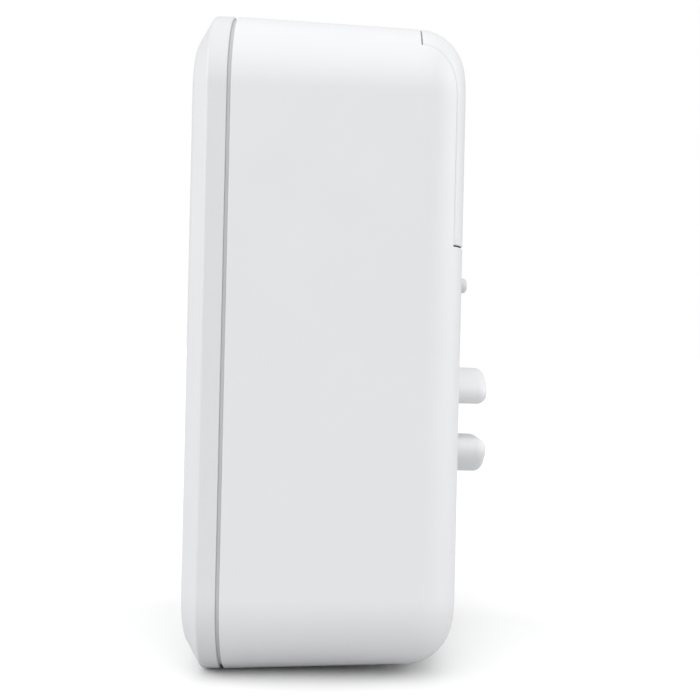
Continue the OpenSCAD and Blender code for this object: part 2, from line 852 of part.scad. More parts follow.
module rear_board_screws() {
    color("silver") for (sx = [-1, 1]) mirror([0, 1, 0])
        screw(sx * rear_post_x, rear_post_z, rear_board_t - y_rear_board, board_screw_r, 4, 1.7, 1);
}

// A flat cable in a bend between the two boards
module rear_ribbon() {
    half_w = 3.5;
    half_t = 0.12;
    steps = 12;
    y0 = y_rear_board - rear_board_t;
    y1 = y_board_rear + 1.6;
    z0 = plunger_z - 8;
    z1 = button_z + 13.5;
    route = [[y0, z0], [y0 - 9, z0], [y1 + 9, z1], [y1, z1]];
    edge = [for (k = [0 : steps]) bezier(route, k / steps)];
    color("orange") translate([-half_w, 0, 0]) rotate([90, 0, 90]) linear_extrude(2 * half_w) polygon(
        concat([for (p = edge) p + [0, half_t]], [for (k = [steps : -1 : 0]) edge[k] - [0, half_t]]));
}

rear_housing();
front_cover();
housing_seal();
housing_screws();
screw_plugs();
camera_window();
lens_barrel();
lens_glass();
lens_holder();
sensor_board();
ir_board();
ir_leds();
pir_lens();
pir_sensor();
microphone();
mic_boot();
bell_button();
switch_plunger();
button_membrane();
light_ring();
ring_leds();
bell_switch();
speaker_frame();
speaker_cone();
speaker_magnet();
speaker_gasket();
speaker_chamber();
speaker_leads();
main_board();
shield_can();
board_chips();
board_connectors();
board_screws();
antenna_board();
antenna_cable();
battery_cradle();
cell_1();
cell_2();
cell_3();
cell_4();
contact_springs();
contact_plates();
battery_leads();
cradle_seal();
battery_door();
cell_pad();
hinge_pins();
mount_spigot();
spigot_seal();
tamper_plunger();
tamper_spring();
tamper_switch();
reset_button();
reset_switch();
rear_board();
rear_board_screws();
rear_ribbon();
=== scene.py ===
"""A battery video doorbell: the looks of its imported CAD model. Sizes are in metres."""

import json
import math

import bmesh
import bpy
from mathutils import Matrix, Vector


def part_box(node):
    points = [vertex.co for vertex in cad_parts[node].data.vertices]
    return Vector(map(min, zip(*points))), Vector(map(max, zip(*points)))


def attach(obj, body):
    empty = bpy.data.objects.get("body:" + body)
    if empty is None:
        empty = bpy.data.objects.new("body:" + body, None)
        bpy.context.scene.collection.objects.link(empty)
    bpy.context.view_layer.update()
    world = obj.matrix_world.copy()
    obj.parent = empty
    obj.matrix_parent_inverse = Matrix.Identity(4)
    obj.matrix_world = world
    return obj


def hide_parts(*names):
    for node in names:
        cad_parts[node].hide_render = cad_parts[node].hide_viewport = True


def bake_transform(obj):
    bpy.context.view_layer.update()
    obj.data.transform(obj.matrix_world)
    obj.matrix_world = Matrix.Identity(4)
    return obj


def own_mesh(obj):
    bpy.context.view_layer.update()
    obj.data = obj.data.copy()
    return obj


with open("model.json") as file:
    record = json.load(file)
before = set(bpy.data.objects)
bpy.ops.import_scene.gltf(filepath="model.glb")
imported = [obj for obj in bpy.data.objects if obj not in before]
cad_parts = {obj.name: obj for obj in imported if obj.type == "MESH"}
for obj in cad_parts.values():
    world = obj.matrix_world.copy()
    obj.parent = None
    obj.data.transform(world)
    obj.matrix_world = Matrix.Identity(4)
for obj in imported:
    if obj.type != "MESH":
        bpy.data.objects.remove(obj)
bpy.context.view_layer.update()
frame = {"nodes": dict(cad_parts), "record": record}

# ---- Measures of the body, from the frame ----

case_lo, case_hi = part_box("rear_housing")
seal_lo, seal_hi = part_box("housing_seal")
Y_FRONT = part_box("front_cover")[0].y
Y_COVER = seal_lo.y          # rear edge of the front cover's skin
Y_SEAM = seal_hi.y           # front edge of the rear housing
Y_REAR = case_hi.y
Z_MID = (case_lo.z + case_hi.z) / 2
HALF_W = case_hi.x
HALF_H = (case_hi.z - case_lo.z) / 2

# Forms that a box can't tell, as the CAD model has them
CORNER_R = 0.0142            # corner radius at the seam, seen from the front
DRAFT = math.radians(2.6)    # taper of the sides towards the rear
REAR_FILLET = 0.008
WALL = 0.0022
BEVEL_DEPTH = 0.0031
BEVEL_INSET = 0.0042
FACE_R = CORNER_R - 0.005    # corner radius of the front face, inside the bevel
CORNER_X = HALF_W - CORNER_R
CORNER_Z = HALF_H - CORNER_R

# Roundings, and how the meshes are made
EDGE = 0.00025               # rounding of a moulded edge
FINE_EDGE = 0.0001           # rounding of a small or hidden edge
SEAM_ROUND = 0.00022
CORNER_STEPS = 28
MERGE = 1e-7                 # points nearer than this are one
OUTSIDE = 0.002              # a hole's cutter starts this far outside
PAST = 0.001                 # a cutter runs this far past what it cuts
SHARP = math.radians(32)     # edges above this angle stay sharp
QUARTER = [math.pi / 2 * k / 4 for k in range(5)]


# ---- Mesh tools ----

def new_piece(name, bm):
    """An object from a bmesh, with its faces turned outwards."""
    bmesh.ops.remove_doubles(bm, verts=bm.verts, dist=MERGE)
    bmesh.ops.recalc_face_normals(bm, faces=bm.faces)
    mesh = bpy.data.meshes.new(name)
    bm.to_mesh(mesh)
    bm.free()
    piece = bpy.data.objects.new(name, mesh)
    bpy.context.scene.collection.objects.link(piece)
    return piece


def rounding(edge):
    """A quarter round an edge, as (distance from its side, depth) from the outer face inwards."""
    return [(edge * (1 - math.sin(a)), edge * (1 - math.cos(a))) for a in QUARTER]


def arc(centre, radius, start, end, steps):
    """Points on a circle's arc, angles in radians."""
    turns = [start + (end - start) * k / steps for k in range(steps + 1)]
    return [(centre[0] + radius * math.cos(a), centre[1] + radius * math.sin(a)) for a in turns]


def rounded(corners, steps=6):
    """The points of a polyline of (r, y, rounding radius), with each corner rounded."""
    points = []
    for k, (r, y, radius) in enumerate(corners):
        here = Vector((r, y))
        if radius == 0 or k in (0, len(corners) - 1):
            points.append(here)
            continue
        to_last = (Vector(corners[k - 1][:2]) - here).normalized()
        to_next = (Vector(corners[k + 1][:2]) - here).normalized()
        half = to_last.angle(to_next) / 2
        start = here + to_last * radius / math.tan(half)
        end = here + to_next * radius / math.tan(half)
        centre = here + (to_last + to_next).normalized() * radius / math.sin(half)
        first = math.atan2(*(start - centre).yx)
        turn = math.remainder(math.atan2(*(end - centre).yx) - first, math.tau)
        points += [Vector(p) for p in arc(centre, radius, first, first + turn, steps)]
    return points


def bridge(bm, a, b):
    """Faces between two closed rows of vertices."""
    for k in range(len(a)):
        after = (k + 1) % len(a)
        bm.faces.new((a[k], a[after], b[after], b[k]))


def stack(name, rings):
    """A solid through closed rings of points, capped at both ends."""
    bm = bmesh.new()
    rows = [[bm.verts.new(p) for p in ring] for ring in rings]
    for a, b in zip(rows, rows[1:]):
        bridge(bm, a, b)
    bm.faces.new(rows[0])
    bm.faces.new(rows[-1])
    return new_piece(name, bm)


def body_ring(r, y):
    """The body's outline at depth y, where its corners have radius r."""
    points = []
    for quarter, (side_x, side_z) in enumerate(((1, 1), (-1, 1), (-1, -1), (1, -1))):
        centre = (side_x * CORNER_X, Z_MID + side_z * CORNER_Z)
        start = quarter * math.pi / 2
        points += [(x, y, z) for x, z in arc(centre, r, start, start + math.pi / 2, CORNER_STEPS)]
    return points


def circle(bm, centre, r, y, steps):
    """A row of vertices round a centre (x, z) at depth y, or a single one where r is 0."""
    if r < MERGE:
        return [bm.verts.new((centre[0], y, centre[1]))]
    return [bm.verts.new((centre[0] + x, y, centre[1] + z))
            for x, z in arc((0, 0), r, 0, math.tau, steps)[:-1]]


def lathe(name, centre, profile, steps=96):
    """A solid turned about an axis along Y, from (r, y) points that start and end at r = 0."""
    bm = bmesh.new()
    rows = [circle(bm, centre, r, y, steps) for r, y in profile]
    for a, b in zip(rows, rows[1:]):
        if len(a) == 1 or len(b) == 1:
            tip, rim = (a[0], b) if len(a) == 1 else (b[0], a)
            for k in range(steps):
                bm.faces.new((tip, rim[k], rim[(k + 1) % steps]))
        else:
            bridge(bm, a, b)
    return new_piece(name, bm)


def tube(name, centre, corners, steps=96):
    """A turned ring: a closed outline of (r, y, rounding radius) corners that stays off the axis."""
    outline = rounded([corners[-1], *corners, corners[0]])[1:-1]
    bm = bmesh.new()
    rows = [circle(bm, centre, r, y, steps) for r, y in outline]
    for a, b in zip(rows, rows[1:] + rows[:1]):
        bridge(bm, a, b)
    return new_piece(name, bm)


def box_piece(name, lo, hi):
    """A plain block between two corners."""
    bm = bmesh.new()
    bmesh.ops.create_cube(bm, size=1)
    centre = (Vector(lo) + Vector(hi)) / 2
    size = Vector(hi) - Vector(lo)
    for v in bm.verts:
        v.co = Vector(c * s for c, s in zip(v.co, size)) + centre
    return new_piece(name, bm)


def joined(name, pieces):
    """Several pieces as one object."""
    bm = bmesh.new()
    for piece in pieces:
        bm.from_mesh(piece.data)
        bpy.data.objects.remove(piece)
    mesh = bpy.data.meshes.new(name)
    bm.to_mesh(mesh)
    bm.free()
    whole = bpy.data.objects.new(name, mesh)
    bpy.context.scene.collection.objects.link(whole)
    return whole


def combine(piece, other, operation):
    """Piece with other cut away or added, exactly."""
    modifier = piece.modifiers.new("combine", "BOOLEAN")
    modifier.object = other
    modifier.operation = operation
    modifier.solver = "MANIFOLD"
    evaluated = piece.evaluated_get(bpy.context.evaluated_depsgraph_get())
    piece.data = bpy.data.meshes.new_from_object(evaluated)
    piece.modifiers.clear()
    bpy.data.objects.remove(other)


def hole(centre, r, face_y, depth, edge=EDGE):
    """A cutter for a round hole from the plane y = face_y, depth long, with a rounded mouth.
    A positive depth runs rearwards."""
    way = math.copysign(1, depth)
    mouth = [(r + growth, face_y + way * down) for growth, down in rounding(edge)]
    outside = face_y - way * OUTSIDE
    end = face_y + depth
    return lathe("hole", centre, [(0, outside), (r + edge, outside), *mouth, (r, end), (0, end)],
                 steps=64)


def pocket(x, z, face_y, depth, edge=EDGE):
    """A cutter for a rectangular pocket from the plane y = face_y, as hole() makes a round one."""
    way = math.copysign(1, depth)
    mouth = [(growth, face_y + way * down) for growth, down in rounding(edge)]
    sections = [(edge, face_y - way * OUTSIDE), *mouth, (0, face_y + depth)]
    return stack("pocket", [[(x[0] - growth, y, z[0] - growth), (x[1] + growth, y, z[0] - growth),
                             (x[1] + growth, y, z[1] + growth), (x[0] - growth, y, z[1] + growth)]
                            for growth, y in sections])


def post(centre, r, start, end):
    """A plain round post along Y with eased ends."""
    corners = [(0, start, 0), (r, start, FINE_EDGE), (r, end, FINE_EDGE), (0, end, 0)]
    return lathe("post", centre, rounded(corners, steps=2), steps=48)


def rod_x(name, y, z, x, r):
    """A rod along X: a rod along Y, turned in its own plane."""
    corners = [(0, x[0], 0), (r, x[0], FINE_EDGE), (r, x[1], FINE_EDGE), (0, x[1], 0)]
    rod = lathe(name, (0, 0), rounded(corners, steps=2), steps=40)
    for v in rod.data.vertices:
        v.co = (v.co.y, y - v.co.x, z + v.co.z)
    return rod


def shade_edges(piece):
    """Smooth shading with sharp edges."""
    piece.data.shade_smooth()
    piece.data.set_sharp_from_angle(angle=SHARP)


def smooth(piece):
    """Smooth shading with sharp edges, and flat faces kept flat."""
    shade_edges(piece)
    weighted = piece.modifiers.new("flat_faces", "WEIGHTED_NORMAL")
    weighted.keep_sharp = True
    return piece


# ---- Materials ----

STEEL = (0.62, 0.62, 0.63)


def nodes_of(name):
    """A new material, its node tree and its shader."""
    material = bpy.data.materials.new(name)
    material.use_nodes = True
    tree = material.node_tree
    shader = tree.nodes["Principled BSDF"]
    return material, tree, shader


def own_coordinates(tree):
    """The object's own coordinates, which move with it."""
    return tree.nodes.new("ShaderNodeTexCoord").outputs["Object"]


def noise(tree, scale, detail=3.0, stretch=(1, 1, 1)):
    """A noise over the object's own coordinates, scale in features a metre."""
    mapping = tree.nodes.new("ShaderNodeMapping")
    mapping.inputs["Scale"].default_value = stretch
    texture = tree.nodes.new("ShaderNodeTexNoise")
    texture.inputs["Scale"].default_value = scale
    texture.inputs["Detail"].default_value = detail
    tree.links.new(own_coordinates(tree), mapping.inputs["Vector"])
    tree.links.new(mapping.outputs["Vector"], texture.inputs["Vector"])
    return texture.outputs["Fac"]


def ramp(tree, value, colours):
    """Colours at positions along a value."""
    node = tree.nodes.new("ShaderNodeValToRGB")
    while len(node.color_ramp.elements) < len(colours):
        node.color_ramp.elements.new(0.5)
    for element, (position, colour) in zip(node.color_ramp.elements, colours):
        element.position = position
        element.color = (*colour, 1)
    tree.links.new(value, node.inputs["Fac"])
    return node.outputs["Color"]


def spread(tree, value, low, high):
    """A noise's middle range, spread from low to high."""
    node = tree.nodes.new("ShaderNodeMapRange")
    node.inputs["From Min"].default_value = 0.3
    node.inputs["From Max"].default_value = 0.7
    node.inputs["To Min"].default_value = low
    node.inputs["To Max"].default_value = high
    tree.links.new(value, node.inputs["Value"])
    return node.outputs["Result"]


def shade(colour, factor):
    """A colour made lighter or darker."""
    return tuple(min(1.0, c * factor) for c in colour)


def relieve(tree, shader, height, distance, strength=1.0):
    """A relief from a height value, distance deep in metres."""
    relief = tree.nodes.new("ShaderNodeBump")
    relief.inputs["Strength"].default_value = strength
    relief.inputs["Distance"].default_value = distance
    tree.links.new(height, relief.inputs["Height"])
    tree.links.new(relief.outputs["Normal"], shader.inputs["Normal"])


def surface(name, colour, roughness, metallic=0.0, tone=0.04, grain=9000, bump=0.00001,
            stretch=(1, 1, 1), coat=0.0, scatter=0.0, gloss=0.5):
    """A moulded, cast or rolled surface: slight drifts of tone and gloss, and a fine grain in relief."""
    material, tree, shader = nodes_of(name)
    drift = noise(tree, 90, 2.0)
    tones = ramp(tree, drift, [(0.3, shade(colour, 1 - tone)), (0.7, shade(colour, 1 + tone))])
    tree.links.new(tones, shader.inputs["Base Color"])
    fine = noise(tree, grain, 2.0, stretch)
    tree.links.new(spread(tree, fine, roughness * 0.9, roughness * 1.1), shader.inputs["Roughness"])
    relieve(tree, shader, fine, bump, 0.35)
    shader.inputs["Metallic"].default_value = metallic
    shader.inputs["Coat Weight"].default_value = coat
    shader.inputs["Coat Roughness"].default_value = 0.06
    shader.inputs["Specular IOR Level"].default_value = gloss
    shader.inputs["Subsurface Weight"].default_value = scatter
    shader.inputs["Subsurface Scale"].default_value = 0.001
    return material


def circuit_board(name):
    """Solder mask over copper: areas of slightly different green, with lighter tracks between."""
    material, tree, shader = nodes_of(name)
    tracks = tree.nodes.new("ShaderNodeTexBrick")
    tracks.inputs["Scale"].default_value = 260
    tracks.inputs["Mortar Size"].default_value = 0.06
    tracks.inputs["Color1"].default_value = (0.012, 0.085, 0.035, 1)
    tracks.inputs["Color2"].default_value = (0.014, 0.11, 0.045, 1)
    tracks.inputs["Mortar"].default_value = (0.03, 0.17, 0.07, 1)
    turn = tree.nodes.new("ShaderNodeMapping")
    turn.inputs["Rotation"].default_value = (math.pi / 2, 0, 0)
    tree.links.new(own_coordinates(tree), turn.inputs["Vector"])
    tree.links.new(turn.outputs["Vector"], tracks.inputs["Vector"])
    tree.links.new(tracks.outputs["Color"], shader.inputs["Base Color"])
    relieve(tree, shader, tracks.outputs["Fac"], 0.00004)
    tree.links.new(spread(tree, noise(tree, 400), 0.25, 0.4), shader.inputs["Roughness"])
    return material


def cell_sleeve(name):
    """A cell's printed sleeve, in bands along X, and bare steel at both ends."""
    material, tree, shader = nodes_of(name)
    split = tree.nodes.new("ShaderNodeSeparateXYZ")
    along = tree.nodes.new("ShaderNodeMapRange")
    end_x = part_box("cell_1")[1].x
    along.inputs["From Min"].default_value = -end_x
    along.inputs["From Max"].default_value = end_x
    tree.links.new(own_coordinates(tree), split.inputs["Vector"])
    tree.links.new(split.outputs["X"], along.inputs["Value"])
    body, band = (0.02, 0.075, 0.12), (0.55, 0.58, 0.6)
    bare, printed = (1, 1, 1), (0.1, 0.1, 0.1)
    colours = [(0.0, STEEL), (0.03, body), (0.2, band), (0.23, body),
               (0.77, band), (0.8, body), (0.97, STEEL)]
    metals = [(0.0, bare), (0.03, printed), (0.97, bare)]
    for bands, socket in ((colours, "Base Color"), (metals, "Metallic")):
        value = ramp(tree, along.outputs["Result"], bands)
        value.node.color_ramp.interpolation = "CONSTANT"
        tree.links.new(value, shader.inputs[socket])
    tree.links.new(spread(tree, noise(tree, 700), 0.22, 0.34), shader.inputs["Roughness"])
    return material


def fresnel_lens(name, centre):
    """A milky lens, in which the rings of its rear face show faintly."""
    material, tree, shader = nodes_of(name)
    shift = tree.nodes.new("ShaderNodeVectorMath")
    shift.operation = "SUBTRACT"
    shift.inputs[1].default_value = centre
    rings = tree.nodes.new("ShaderNodeTexWave")
    rings.wave_type = "RINGS"
    rings.rings_direction = "Y"
    rings.inputs["Scale"].default_value = 210
    tree.links.new(own_coordinates(tree), shift.inputs[0])
    tree.links.new(shift.outputs["Vector"], rings.inputs["Vector"])
    tones = ramp(tree, rings.outputs["Fac"], [(0.0, (0.6, 0.61, 0.63)), (0.35, (0.76, 0.77, 0.78))])
    tree.links.new(tones, shader.inputs["Base Color"])
    relieve(tree, shader, rings.outputs["Fac"], 0.00003)
    shader.inputs["Roughness"].default_value = 0.33
    shader.inputs["Subsurface Weight"].default_value = 0.3
    shader.inputs["Subsurface Scale"].default_value = 0.001
    return material


def glass_material(name):
    """Clear glass, hardly refracting, so that the lens behind it stays in its place."""
    material, tree, shader = nodes_of(name)
    tint = ramp(tree, noise(tree, 60), [(0.3, (0.9, 0.92, 0.95)), (0.7, (0.94, 0.95, 0.97))])
    tree.links.new(tint, shader.inputs["Base Color"])
    shader.inputs["Roughness"].default_value = 0.02
    shader.inputs["Transmission Weight"].default_value = 1.0
    shader.inputs["IOR"].default_value = 1.1
    return material


MOULDED = dict(roughness=0.42, tone=0.006, grain=7000, bump=0.000012)
SURFACES = {
    "shell_white": dict(MOULDED, colour=(0.79, 0.795, 0.81)),
    "button_white": dict(colour=(0.8, 0.805, 0.815), roughness=0.36, tone=0.006, bump=0.000006),
    "seal_grey": dict(colour=(0.62, 0.625, 0.64), roughness=0.6, tone=0.03, grain=6000),
    "plug_white": dict(colour=(0.7, 0.7, 0.71), roughness=0.6, tone=0.02, grain=6000),
    "window_black": dict(colour=(0.004, 0.004, 0.005), roughness=0.08, tone=0.2, bump=0.0, gloss=0.25),
    "lens_black": dict(colour=(0.012, 0.012, 0.013), roughness=0.45, tone=0.2, grain=14000),
    "lens_glass": dict(colour=(0.02, 0.012, 0.045), roughness=0.03, tone=0.3, bump=0.0, coat=1.0),
    "led_clear": dict(colour=(0.8, 0.79, 0.72), roughness=0.2, tone=0.05, coat=0.4),
    "can_steel": dict(colour=STEEL, roughness=0.32, metallic=1.0, tone=0.06, grain=2500,
                      stretch=(1, 1, 12)),
    "gold_can": dict(colour=(0.83, 0.62, 0.26), roughness=0.28, metallic=1.0, tone=0.06, grain=4000),
    "ring_clear": dict(colour=(0.72, 0.75, 0.78), roughness=0.28, tone=0.01, scatter=0.3),
    "membrane_grey": dict(colour=(0.3, 0.305, 0.315), roughness=0.65, tone=0.05, grain=6000),
    "part_black": dict(colour=(0.018, 0.018, 0.019), roughness=0.5, tone=0.15, grain=8000),
    "cone_black": dict(colour=(0.02, 0.02, 0.021), roughness=0.8, tone=0.2, grain=3500, bump=0.00005),
    "magnet_steel": dict(colour=(0.5, 0.5, 0.51), roughness=0.4, metallic=1.0, tone=0.08, grain=3000),
    "frame_grey": dict(colour=(0.42, 0.425, 0.435), roughness=0.5, tone=0.03, grain=7000),
    "lead_red": dict(colour=(0.42, 0.02, 0.015), roughness=0.45, tone=0.08, grain=5000),
    "lead_black": dict(colour=(0.015, 0.015, 0.016), roughness=0.45, tone=0.15, grain=5000),
    "connector_ivory": dict(colour=(0.72, 0.68, 0.56), roughness=0.45, grain=7000),
    "screw_steel": dict(colour=STEEL, roughness=0.3, metallic=1.0, tone=0.08, grain=2200),
    "contact_nickel": dict(colour=(0.66, 0.63, 0.57), roughness=0.26, metallic=1.0, tone=0.06,
                           grain=2600),
    "pad_grey": dict(colour=(0.16, 0.163, 0.17), roughness=0.9, tone=0.15, grain=2600, bump=0.00012),
    "plunger_grey": dict(colour=(0.7, 0.705, 0.715), roughness=0.4, tone=0.02, grain=8000),
    "ribbon_amber": dict(colour=(0.5, 0.19, 0.03), roughness=0.3, tone=0.08, grain=2000,
                         stretch=(9, 1, 1)),
}
LOOKS = {name: surface(name, **finish) for name, finish in SURFACES.items()}
LOOKS["board_green"] = circuit_board("board_green")
LOOKS["cell_sleeve"] = cell_sleeve("cell_sleeve")
LOOKS["pir_white"] = fresnel_lens("pir_white", (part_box("pir_lens")[0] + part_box("pir_lens")[1]) / 2)

# Two pieces have looks of their own within a slot. The cover's is painted shade: the housing's white
# plastic made a shade darker, standing in for the lesser light on the cover's side
COVER_SHADED_WHITE = surface("cover_shaded_white", (0.735, 0.74, 0.755), **MOULDED)    # a shade under the housing's
PORT_GLASS = glass_material("port_glass")


def dress(piece, slot, *nodes, look=None):
    """A finished piece in its finish, in place of its CAD nodes."""
    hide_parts(*nodes)
    piece.data.materials.clear()
    piece.data.materials.append(look or LOOKS[slot])


def place(piece, body, slot, *nodes, look=None):
    """A dressed piece on its body."""
    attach(piece, body)
    dress(piece, slot, *nodes, look=look)


def middle(node):
    """The middle (x, z) of a node."""
    lo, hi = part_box(node)
    return (lo.x + hi.x) / 2, (lo.z + hi.z) / 2


# ---- The housing's curved surface ----

def radius_at(y, inset=0.0):
    """Corner radius of the drafted side at depth y."""
    return CORNER_R - inset - (y - Y_SEAM) * math.tan(DRAFT)


def skin(inset, s):
    """Corner radius and depth along the housing's skin. From the draft up, s is a turn round the rear
    fillet, and below the draft it runs straight along the side."""
    fillet = REAR_FILLET - inset
    centre_y = Y_REAR - REAR_FILLET
    turn = max(s, DRAFT)
    tangent_y = centre_y + fillet * math.sin(DRAFT)
    centre_r = radius_at(tangent_y, inset) - fillet * math.cos(DRAFT)
    ahead = min(0.0, s - DRAFT) * fillet
    return (centre_r + fillet * math.cos(turn) - ahead * math.sin(DRAFT),
            centre_y + fillet * math.sin(turn) + ahead * math.cos(DRAFT))


def skin_turn(inset, y):
    """The s of skin() at depth y."""
    fillet = REAR_FILLET - inset
    rise = y - (Y_REAR - REAR_FILLET)
    if rise < fillet * math.sin(DRAFT):
        return DRAFT + (rise - fillet * math.sin(DRAFT)) / (fillet * math.cos(DRAFT))
    return math.asin(min(1.0, rise / fillet))


PATCH_COLUMNS = 72
PATCH_ARC = 22     # steps over the rear edge
PATCH_FLAT = 18    # steps down the rear face


def patch_grid(inset, half_x, y_lip, z_low):
    """A patch of the housing's skin over its upper rear edge, as a grid of points."""
    centre_z = Z_MID + CORNER_Z
    flat_r = skin(inset, math.pi / 2)[0]
    start = skin_turn(inset, y_lip)
    grid = []
    for i in range(PATCH_COLUMNS + 1):
        x = -half_x * math.cos(math.pi * i / PATCH_COLUMNS)
        dx = max(0.0, abs(x) - CORNER_X)
        end = math.pi / 2 if dx <= flat_r else math.acos((dx - flat_r) / (REAR_FILLET - inset))
        column = []
        for j in range(PATCH_ARC + 1):
            r, y = skin(inset, start + (end - start) * j / PATCH_ARC)
            column.append((x, y, centre_z + math.sqrt(max(0.0, r * r - dx * dx))))
        top = column[-1][2]
        for j in range(1, PATCH_FLAT + 1):
            column.append((x, column[PATCH_ARC][1], top + (z_low - top) * j / PATCH_FLAT))
        grid.append(column)
    return grid


def patch_solid(name, layers):
    """A solid with the door's outline, through layers of the skin, each given as (inset, growth of the
    outline, rise of its lower edge). The first and last are its faces, and the others shape its rim."""
    bm = bmesh.new()
    rims = []
    for k, (inset, growth, rise) in enumerate(layers):
        grid = patch_grid(inset, DOOR_X + growth, DOOR_LIP - growth, DOOR_EDGE - growth + rise)
        rows = [[bm.verts.new(p) for p in column] for column in grid]
        upper = [row[0] for row in rows]
        lower = [row[-1] for row in rows]
        rim = upper + rows[-1][1:-1] + lower[::-1] + rows[0][-2:0:-1]
        rims.append(rim)
        if k in (0, len(layers) - 1):
            for a, b in zip(rows, rows[1:]):
                for j in range(len(a) - 1):
                    bm.faces.new((a[j], b[j], b[j + 1], a[j + 1]))
        else:
            inner = [v for row in rows[1:-1] for v in row[1:-1]]
            bmesh.ops.delete(bm, geom=inner, context="VERTS")
    for a, b in zip(rims, rims[1:]):
        bridge(bm, a, b)
    return new_piece(name, bm)


def rim_layers(growth, flare, rise):
    """Layers of a patch's rounded edge, which end where its outline has grown by growth. A flare of 1
    is an opening's mouth, and of -1 a solid's own edge."""
    return [(down, growth + flare * side, rise) for side, down in rounding(EDGE)]


# ---- What the frame says about the parts behind the skin ----

INNER_Y = Y_REAR - WALL      # inside of the rear wall
FACE_IN = Y_FRONT + WALL     # inside of the front face

HINGE_Y, HINGE_Z = [(a + b) / 2 for a, b in zip(*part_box("hinge_pins"))][1:]
DOOR_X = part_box("battery_door")[1].x
DOOR_LIP = Y_REAR - 0.0076         # the door's front edge, on the top side
DOOR_EDGE = HINGE_Z + 0.0016       # the door's lower edge, on the rear side
DOOR_WALL = 0.002
DOOR_LAND = 0.0002
DOOR_GAP = 0.000125
BARREL_X = (0.01, 0.02)            # ends of each hinge barrel, out from the middle
BARREL_R = 0.0014
HINGE_GAP = 0.00025
PIN_R = 0.0006
PIN_REACH = 0.0027                 # from a barrel's end into the knuckle
KNUCKLE_W = 0.0029

SCREW_HEAD_R = 0.0023
SCREW_HEAD_T = 0.0017
WELL_R = 0.0025
screws_lo, screws_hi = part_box("housing_screws")
SCREWS = [(side * (screws_hi.x - SCREW_HEAD_R), z) for side in (-1, 1)
          for z in (screws_lo.z + SCREW_HEAD_R, screws_hi.z - SCREW_HEAD_R)]
SCREW_SEAT = screws_hi.y - SCREW_HEAD_T
COVER_BOSS_Y = Y_FRONT + 0.0071    # where the cover's screw bosses end
CASE_BOSS_Y = Y_FRONT + 0.0074     # where the housing's screw bosses begin
SPIGOT = middle("mount_spigot")
PLUNGER = middle("tamper_plunger")
GUIDE_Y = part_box("tamper_switch")[1].y - 0.0003    # front end of the plunger's guide
COLLAR_Y = (INNER_Y - 0.0012, INNER_Y - 0.0001)    # collars of plunger and reset button
RESET = middle("reset_button")
WINDOW = middle("camera_window")
PIR = middle("pir_lens")
MICROPHONE = middle("mic_boot")
BUTTON = middle("bell_button")
SPEAKER = middle("speaker_frame")


# ---- Shells ----

def mirrored(inner, outer, side):
    """The two x of a span, on the left where side is -1, in rising order."""
    return sorted((side * inner, side * outer))


def add_case_posts(case):
    """Screw bosses, the boards' posts and the plunger's guide, all from the rear wall forwards."""
    boss_r, board_post_r, rear_post_r, guide_r = 0.0036, 0.0026, 0.002, 0.0033
    board_head_r, rear_head_r = 0.0018, 0.0017
    root = INNER_Y + WALL / 2
    board_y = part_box("main_board")[1].y
    rear_board_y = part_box("rear_board")[1].y
    board_lo, board_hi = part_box("board_screws")
    rear_lo, rear_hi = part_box("rear_board_screws")
    for centre in SCREWS:
        combine(case, post(centre, boss_r, CASE_BOSS_Y, root), "UNION")
    for side in (-1, 1):
        lower = (side * (board_hi.x - board_head_r), board_lo.z + board_head_r)
        combine(case, post(lower, board_post_r, board_y, root), "UNION")
        beside = (side * (rear_hi.x - rear_head_r), (rear_lo.z + rear_hi.z) / 2)
        combine(case, post(beside, rear_post_r, rear_board_y, root), "UNION")
    combine(case, post(PLUNGER, guide_r, GUIDE_Y, root), "UNION")


def add_knuckles(case):
    """Two knuckles for each hinge barrel, one at either end."""
    front = HINGE_Y - 0.0017
    rear = Y_REAR - 0.0005
    low = HINGE_Z - 0.0025
    high = DOOR_EDGE - HINGE_GAP - 0.0001
    for side in (-1, 1):
        for start in (BARREL_X[0] - HINGE_GAP - KNUCKLE_W, BARREL_X[1] + HINGE_GAP):
            left, right = mirrored(start, start + KNUCKLE_W, side)
            combine(case, box_piece("knuckle", (left, front, low), (right, rear, high)), "UNION")


def cut_door_opening(case):
    """The opening for the battery door, with its hinge pockets and pin holes. Along the door's lower
    edge the gap is twice as wide as elsewhere."""
    rise = -DOOR_GAP
    layers = [(-PAST, DOOR_GAP + EDGE, rise), *rim_layers(DOOR_GAP, 1, rise),
              (WALL + 0.0003, DOOR_GAP, rise)]
    combine(case, patch_solid("opening", layers), "DIFFERENCE")
    pocket_z = (HINGE_Z - BARREL_R - 0.00035, DOOR_EDGE)
    pocket_depth = HINGE_Y - 0.0018 - Y_REAR
    for side in (-1, 1):
        pocket_x = mirrored(BARREL_X[0] - HINGE_GAP, BARREL_X[1] + HINGE_GAP, side)
        combine(case, pocket(pocket_x, pocket_z, Y_REAR, pocket_depth), "DIFFERENCE")
        pin_x = mirrored(BARREL_X[0] - PIN_REACH, BARREL_X[1] + PIN_REACH, side)
        combine(case, rod_x("pin_hole", HINGE_Y, HINGE_Z, pin_x, PIN_R + 0.00002), "DIFFERENCE")


